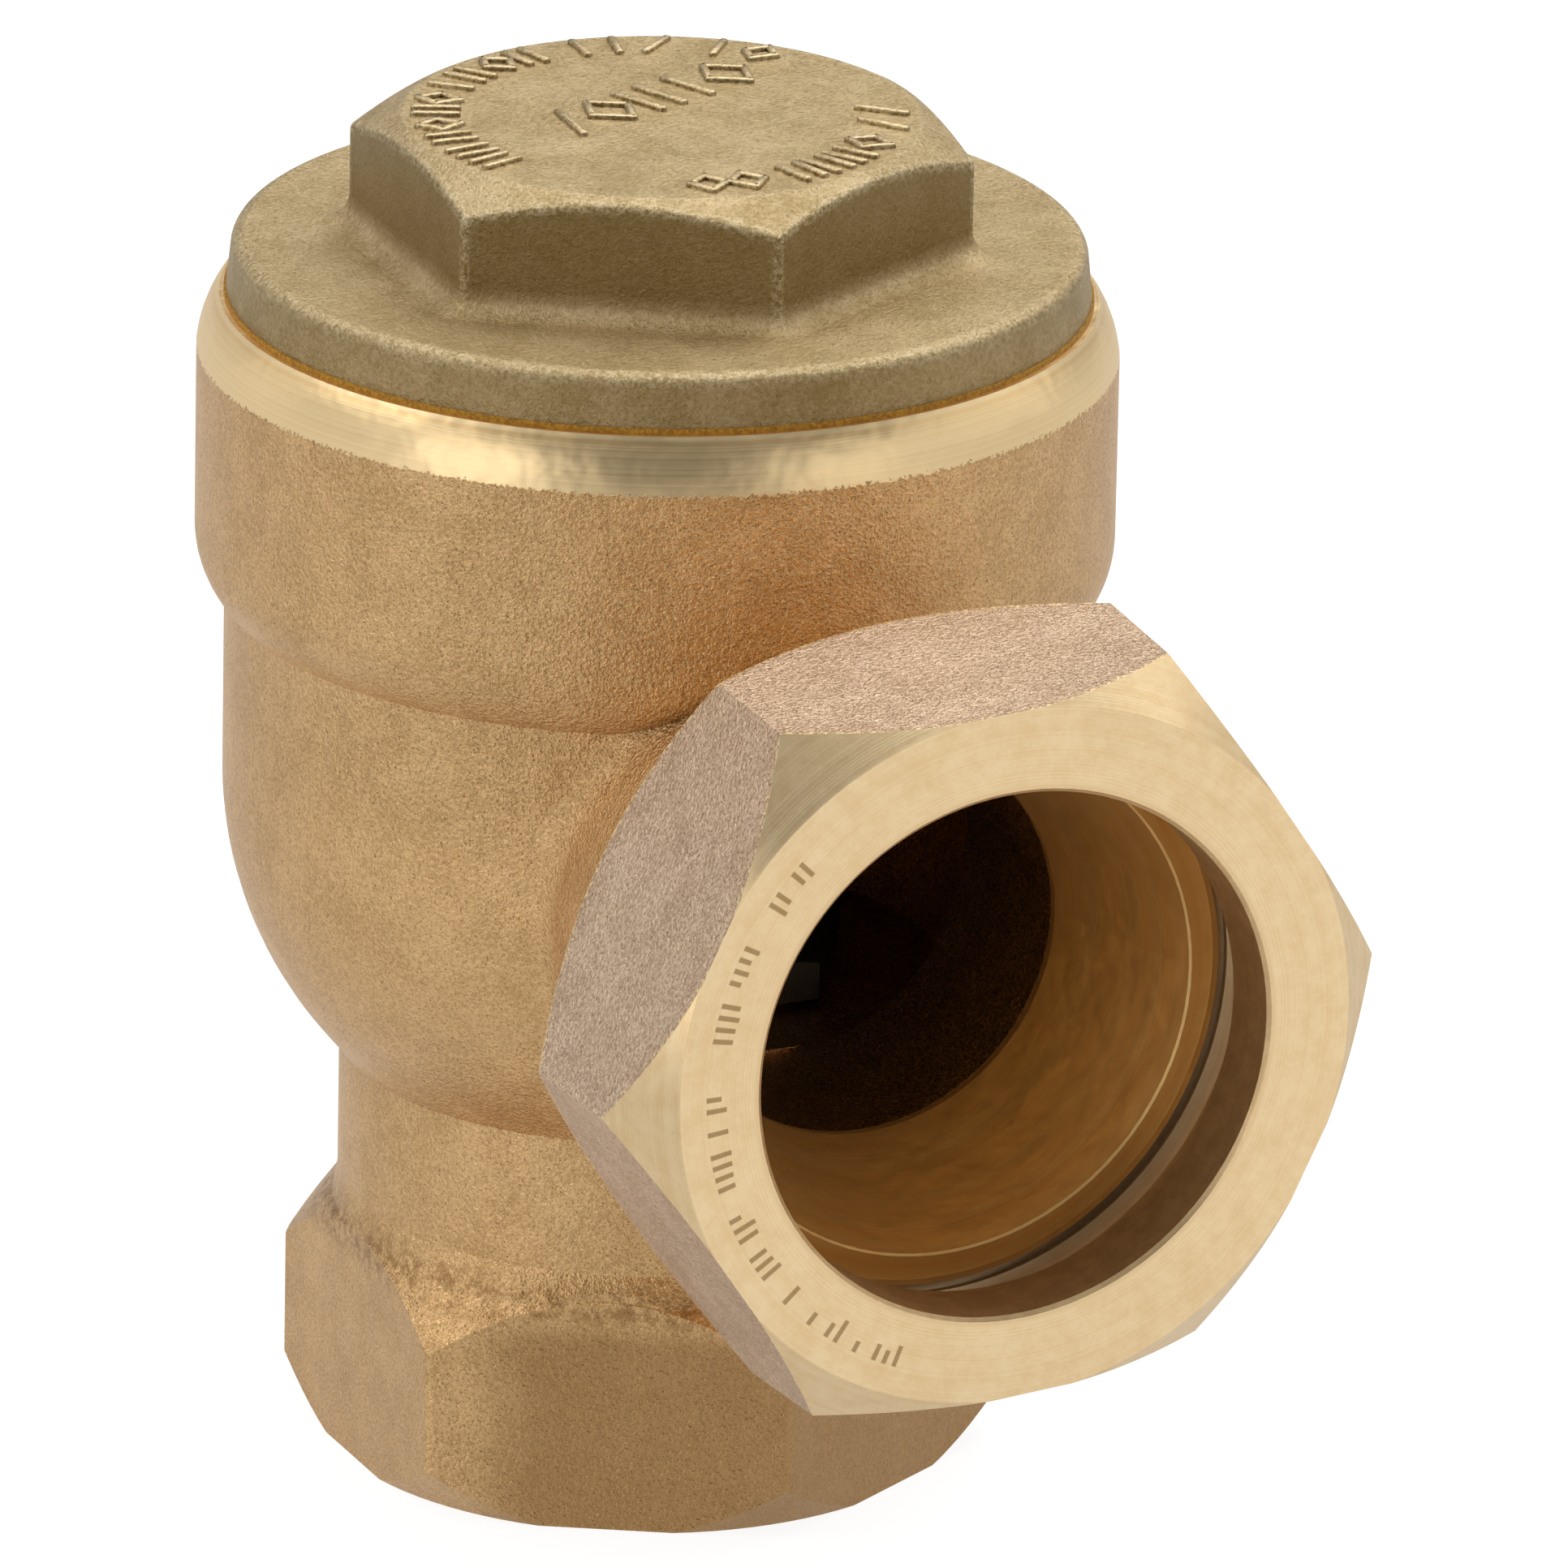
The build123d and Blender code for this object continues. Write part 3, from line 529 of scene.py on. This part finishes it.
def cover_marks():
    """Two arcs and a middle row of generic foundry marks."""
    mesh = bmesh.new()
    rng = random.Random(4)
    mark_arc(mesh, rng, 40.0, 204.0, 13.3 * MM, 2.7 * MM)
    mark_arc(mesh, rng, -102.0, -6.0, 12.9 * MM, 2.9 * MM)
    row_turn = math.radians(23.0)
    row = Vector((math.cos(row_turn), math.sin(row_turn)))
    foot = Vector((-5.4, -1.4)) * MM
    for shape in ("slope", "diamond", "pair", "bar", "diamond"):
        add_mark(mesh, shape, foot, row_turn + math.pi / 2, 4.2 * MM)
        foot = foot + row * 3.7 * MM
    data = bpy.data.meshes.new("cover_cast_marks")
    mesh.to_mesh(data)
    mesh.free()
    piece = add_object("cover_cast_marks", data)
    for face in data.polygons:
        face.use_smooth = True
    data.materials.append(MATERIALS["cover_brass"])
    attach(piece, "cover_assembly")


# ---- studio ----
AIM = Vector((9.64, 0.0, 43.06)) * MM
CAMERA_AZIMUTH = math.radians(-24.76)
CAMERA_ELEVATION = math.radians(20.07)
CAMERA_ROLL = math.radians(1.16)
CAMERA_DISTANCE = 1.2773
CAMERA_LENS = 446.3
FLOOR_HALF = 3.6
TABLE_GLOW = 0.55
WORLD_GLOW = 0.12
TABLE_CARDS = (
    # name, centre, half width, half depth, glow
    ("right_card", (0.10, -0.21), 0.12, 0.11, 0.80),
    ("front_card", (-0.11, -0.25), 0.085, 0.15, 0.26),
    ("left_card", (-0.31, -0.10), 0.11, 0.16, 0.76),
)
BOX_DISTANCE = 0.9
SOFT_BOXES = (
    # name, azimuth, elevation, width, height, power
    ("top_box", 155.0, 82.0, 0.6, 0.6, 2.6),
    ("front_top_box", -25.0, 62.0, 0.9, 0.4, 0.32),
    ("back_box", 155.0, 48.0, 0.6, 0.6, 1.6),
    ("back_right_box", 110.0, 50.0, 0.7, 0.6, 2.2),
    ("back_right_low_box", 105.0, 12.0, 0.8, 0.4, 0.35),
    ("back_left_low_box", -155.0, 12.0, 0.8, 0.4, 0.45),
    ("left_high_box", -112.0, 48.0, 0.6, 0.6, 2.2),
    ("left_side_box", -115.0, 12.0, 0.8, 0.4, 0.45),
    ("left_low_box", -68.0, 14.0, 0.5, 0.5, 1.25),
    ("right_low_box", 20.0, 14.0, 0.5, 0.5, 0.75),
    ("right_side_box", 65.0, 22.0, 0.8, 0.6, 1.0),
)


def direction(azimuth, elevation):
    """Unit vector from the object towards a viewer at that azimuth and elevation, in degrees."""
    a, e = math.radians(azimuth), math.radians(elevation)
    return Vector((math.sin(a) * math.cos(e), -math.cos(a) * math.cos(e), math.sin(e)))


def make_camera():
    back = direction(math.degrees(CAMERA_AZIMUTH), math.degrees(CAMERA_ELEVATION))
    level = Vector((math.cos(CAMERA_AZIMUTH), math.sin(CAMERA_AZIMUTH), 0.0))
    rise = back.cross(level)
    right = math.cos(CAMERA_ROLL) * level + math.sin(CAMERA_ROLL) * rise
    up = math.cos(CAMERA_ROLL) * rise - math.sin(CAMERA_ROLL) * level
    turn = Matrix((right, up, back)).transposed().to_4x4()
    data = bpy.data.cameras.new("camera")
    data.sensor_width = 36.0
    data.lens = CAMERA_LENS
    data.clip_start = 0.05
    data.clip_end = 50.0
    camera = bpy.data.objects.new("camera", data)
    camera.matrix_world = Matrix.Translation(AIM + back * CAMERA_DISTANCE) @ turn
    bpy.context.scene.collection.objects.link(camera)
    bpy.context.scene.camera = camera


def soft_box(name, azimuth, elevation, width, height, power):
    """Area light that faces the object and isn't seen itself."""
    data = bpy.data.lights.new(name, "AREA")
    data.shape = "RECTANGLE"
    data.size = width
    data.size_y = height
    data.energy = power
    light = bpy.data.objects.new(name, data)
    aim = direction(azimuth, elevation)
    light.location = AIM + aim * BOX_DISTANCE
    light.rotation_mode = "QUATERNION"
    light.rotation_quaternion = aim.to_track_quat("Z", "Y")
    light.visible_camera = False
    bpy.context.scene.collection.objects.link(light)


def plane(name, centre, half_x, half_y, level):
    data = bpy.data.meshes.new(name)
    x, y = centre
    corners = [(x - half_x, y - half_y, level), (x + half_x, y - half_y, level),
               (x + half_x, y + half_y, level), (x - half_x, y + half_y, level)]
    data.from_pydata(corners, [], [(0, 1, 2, 3)])
    piece = add_object(name, data)
    return piece


def show_to_camera_only(piece):
    for ray in ("diffuse", "glossy", "transmission", "shadow"):
        setattr(piece, "visible_" + ray, False)


def glowing(name, shade, glow):
    """Matt pale material that also gives off an even light."""
    sh = Shader(name, Specular_IOR_Level=0.0, Emission_Strength=glow)
    sh.surface.inputs["Emission Color"].default_value = (1.0, 1.0, 1.0, 1.0)
    return sh.finish((shade, shade, shade), 1.0)


def make_floor():
    """Pale floor as the camera sees it, and a table with cards just below it that light the object."""
    level = cad_bounds[0].z - 0.02 * MM
    floor = plane("floor", (0.0, 0.0), FLOOR_HALF, FLOOR_HALF, level)
    floor.data.materials.append(glowing("floor", 0.25, 0.88))
    table = plane("light_table", (0.0, 0.0), FLOOR_HALF, FLOOR_HALF, level - 0.05 * MM)
    table.data.materials.append(glowing("light_table", 0.15, TABLE_GLOW))
    for name, centre, half_x, half_y, glow in TABLE_CARDS:
        card = plane(name, centre, half_x, half_y, level - 0.03 * MM)
        card.data.materials.append(glowing(name, 0.1, glow))
        card.visible_camera = False
    show_to_camera_only(floor)
    table.visible_camera = False


def make_backdrop():
    """Pale sphere round the scene, seen only by the camera."""
    mesh = bmesh.new()
    bmesh.ops.create_uvsphere(mesh, u_segments=48, v_segments=24, radius=FLOOR_HALF * 0.95)
    data = bpy.data.meshes.new("backdrop")
    mesh.to_mesh(data)
    mesh.free()
    data.materials.append(glowing("backdrop", 0.0, 1.0))
    backdrop = add_object("backdrop", data)
    show_to_camera_only(backdrop)


def make_world():
    world = bpy.data.worlds.new("studio")
    world.use_nodes = True
    sky = world.node_tree.nodes["Background"]
    sky.inputs["Color"].default_value = (0.98, 0.99, 1.0, 1.0)
    sky.inputs["Strength"].default_value = WORLD_GLOW
    bpy.context.scene.world = world
    bpy.context.scene.view_settings.view_transform = "Standard"


def make_studio():
    make_world()
    make_floor()
    make_backdrop()
    for box in SOFT_BOXES:
        soft_box(*box)


dress_nodes()
cover_marks()
make_studio()
make_camera()
